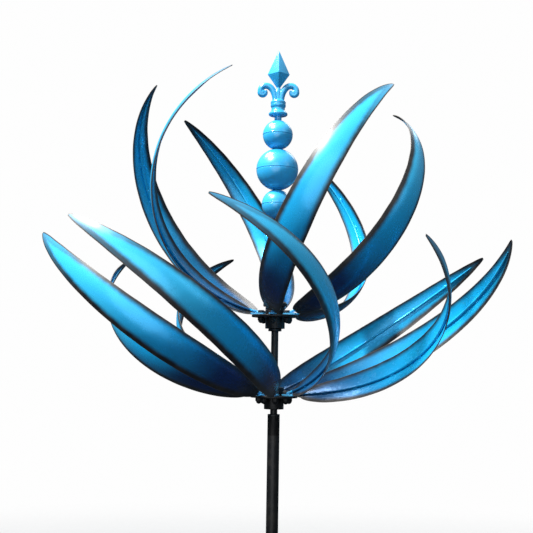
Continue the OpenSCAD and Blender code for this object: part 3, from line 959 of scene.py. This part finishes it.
def finial_spear(base, top):
    """A four-sided spear with rubbed edges, its foot sunk a little into the casting."""
    half, waist = SPEAR_HALF - 0.15, base + SPEAR_WAIST
    verts = [(half, 0, waist), (0, half, waist), (-half, 0, waist), (0, -half, waist), (0, 0, top - 0.2),
             (0, 0, base + SPEAR_FOOT - 1)]
    faces = [(k, (k + 1) % 4, 4) for k in range(4)] + [((k + 1) % 4, k, 5) for k in range(4)]
    spear = make("finial_spear", verts, faces)
    bm = bmesh.new()
    bm.from_mesh(spear.data)
    bmesh.ops.bevel(bm, geom=list(bm.edges), offset=0.5 * MM, segments=3, affect="EDGES", profile=0.6)
    bm.to_mesh(spear.data)
    bm.free()
    spear.data.polygons.foreach_set("use_smooth", [True] * len(spear.data.polygons))
    sharpen(spear, SPEAR_SHARP)
    return spear


def finial():
    lo, hi = mm_box("finial")
    for piece in (finial_casting(lo.z), finial_spear(lo.z, hi.z)):
        finish_piece(piece, "column", "sky_gloss", "finial")


finial()

# CAD nodes that stay as they are, in their own finish
for node in ("axle", "inner_races", "bearing_sleeves"):
    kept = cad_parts[node]
    kept.data.materials.clear()
    kept.data.materials.append(MATS["bright_steel"])


# ---------- floor, light and camera ----------

# radius of the round floor in mm, and the metres over which it fades into the backdrop
FLOOR_R, FADE_FROM, FADE_TO = 9000, 2.4, 7.5
# strength of the world's light, and its colour below, a little up and near the top
WORLD_LIT = 0.62
WORLD_STOPS = ((0.0, (0.13, 0.16, 0.19, 1)), (0.30, (0.26, 0.36, 0.46, 1)), (0.75, (0.86, 0.95, 1.0, 1)))
BACKDROP = (0.99, 0.99, 0.99, 1)


def stage():
    """A round pale floor just under the prongs. The part neither mirrors it nor is lit by it."""
    n, rings = 96, 24
    verts, faces = [(0, 0, 0)], []
    for j in range(1, rings + 1):
        q = FLOOR_R * j / rings
        verts += [(q * math.cos(2 * math.pi * k / n), q * math.sin(2 * math.pi * k / n), 0) for k in range(n)]
    for k in range(n):
        faces.append((0, 1 + k, 1 + (k + 1) % n))
        for j in range(rings - 1):
            a, b = 1 + j * n, 1 + (j + 1) * n
            faces.append((a + k, b + k, b + (k + 1) % n, a + (k + 1) % n))
    floor = make("studio_floor", verts, faces, Matrix.Translation((0, 0, PRONG_TIP / MM - 1)))
    m = Mat("studio_floor")
    length = m.new("ShaderNodeVectorMath", operation="LENGTH")
    m.put(length.inputs[0], m.obj)
    m.set(color=(0.86, 0.86, 0.855), rough=0.9, spec=0.1)
    m.put(m.bsdf.inputs["Alpha"], m.span(length.outputs["Value"], FADE_FROM, FADE_TO, 1.0, 0.0))
    floor.data.materials.append(m.mat)
    floor.visible_glossy = floor.visible_diffuse = False


def studio_world():
    """A pale backdrop, and a studio whose ceiling is brighter than its walls."""
    world = bpy.data.worlds.new("studio")
    bpy.context.scene.world = world
    world.use_nodes = True
    t = world.node_tree
    lit, seen = t.nodes["Background"], t.nodes.new("ShaderNodeBackground")
    coord, split = t.nodes.new("ShaderNodeTexCoord"), t.nodes.new("ShaderNodeSeparateXYZ")
    ramp, path = t.nodes.new("ShaderNodeValToRGB"), t.nodes.new("ShaderNodeLightPath")
    both = t.nodes.new("ShaderNodeMixShader")
    t.links.new(coord.outputs["Generated"], split.inputs[0])
    t.links.new(split.outputs["Z"], ramp.inputs[0])
    stops = ramp.color_ramp.elements
    stops.new(0.5)
    for stop, (position, color) in zip(stops, WORLD_STOPS):
        stop.position, stop.color = position, color
    t.links.new(ramp.outputs[0], lit.inputs["Color"])
    lit.inputs["Strength"].default_value = WORLD_LIT
    seen.inputs["Color"].default_value = BACKDROP
    t.links.new(path.outputs["Is Camera Ray"], both.inputs[0])
    t.links.new(lit.outputs[0], both.inputs[1])
    t.links.new(seen.outputs[0], both.inputs[2])
    t.links.new(both.outputs[0], t.nodes["World Output"].inputs["Surface"])


# height above the lower hub of the point that every light is aimed at, in mm
AIM_UP = 180
# name, place from that point in metres, width in metres, watts and colour of each light
LIGHTS = (
    ("key", (-1.7, -1.2, 2.9), 0.5, 310, (1.0, 0.985, 0.96)),
    ("fill", (-0.5, -3.0, 0.3), 3.0, 36, (0.95, 0.97, 1.0)),
    ("right_fill", (2.4, -1.9, 1.3), 1.8, 8, (0.95, 0.98, 1.0)),
    ("rim", (1.2, 2.4, 1.9), 1.2, 9, (1, 1, 1)),
    ("glare", (-1.3, 0.5, 2.7), 1.5, 105, (0.98, 0.99, 1.0)),
)


def area(name, offset, size, watts, color):
    """A round area light that faces the point the lights are aimed at."""
    light = bpy.data.lights.new(name, "AREA")
    light.shape, light.size, light.energy, light.color = "DISK", size, watts, color
    lamp = to_scene(name, light)
    lamp.location = Vector((0, 0, (ZL + AIM_UP) * MM)) + Vector(offset)
    lamp.rotation_mode = "QUATERNION"
    lamp.rotation_quaternion = (-Vector(offset)).to_track_quat("-Z", "Y")


# focal length in mm, and where the camera stands from the lower hub in metres
LENS, DISTANCE, ASIDE, ABOVE = 67.0, 1.32, -0.0125, 0.0475
# degrees that it looks up and leans
PITCH, LEAN = 5.4, 0.9


def camera():
    """Stands in front, a little to the left and above the lower hub, and looks slightly up."""
    data = bpy.data.cameras.new("camera")
    data.sensor_width, data.lens = 36.0, LENS
    data.dof.use_dof = False
    data.clip_start, data.clip_end = 0.01, 100
    cam = to_scene("camera", data)
    place = Matrix.Translation((ASIDE, -DISTANCE, ZL * MM + ABOVE))
    cam.matrix_world = place @ rot(90 + PITCH, "X") @ rot(LEAN, "Z")
    bpy.context.scene.camera = cam
    bpy.context.scene.view_settings.view_transform = "Standard"


stage()
studio_world()
for spec in LIGHTS:
    area(*spec)
camera()
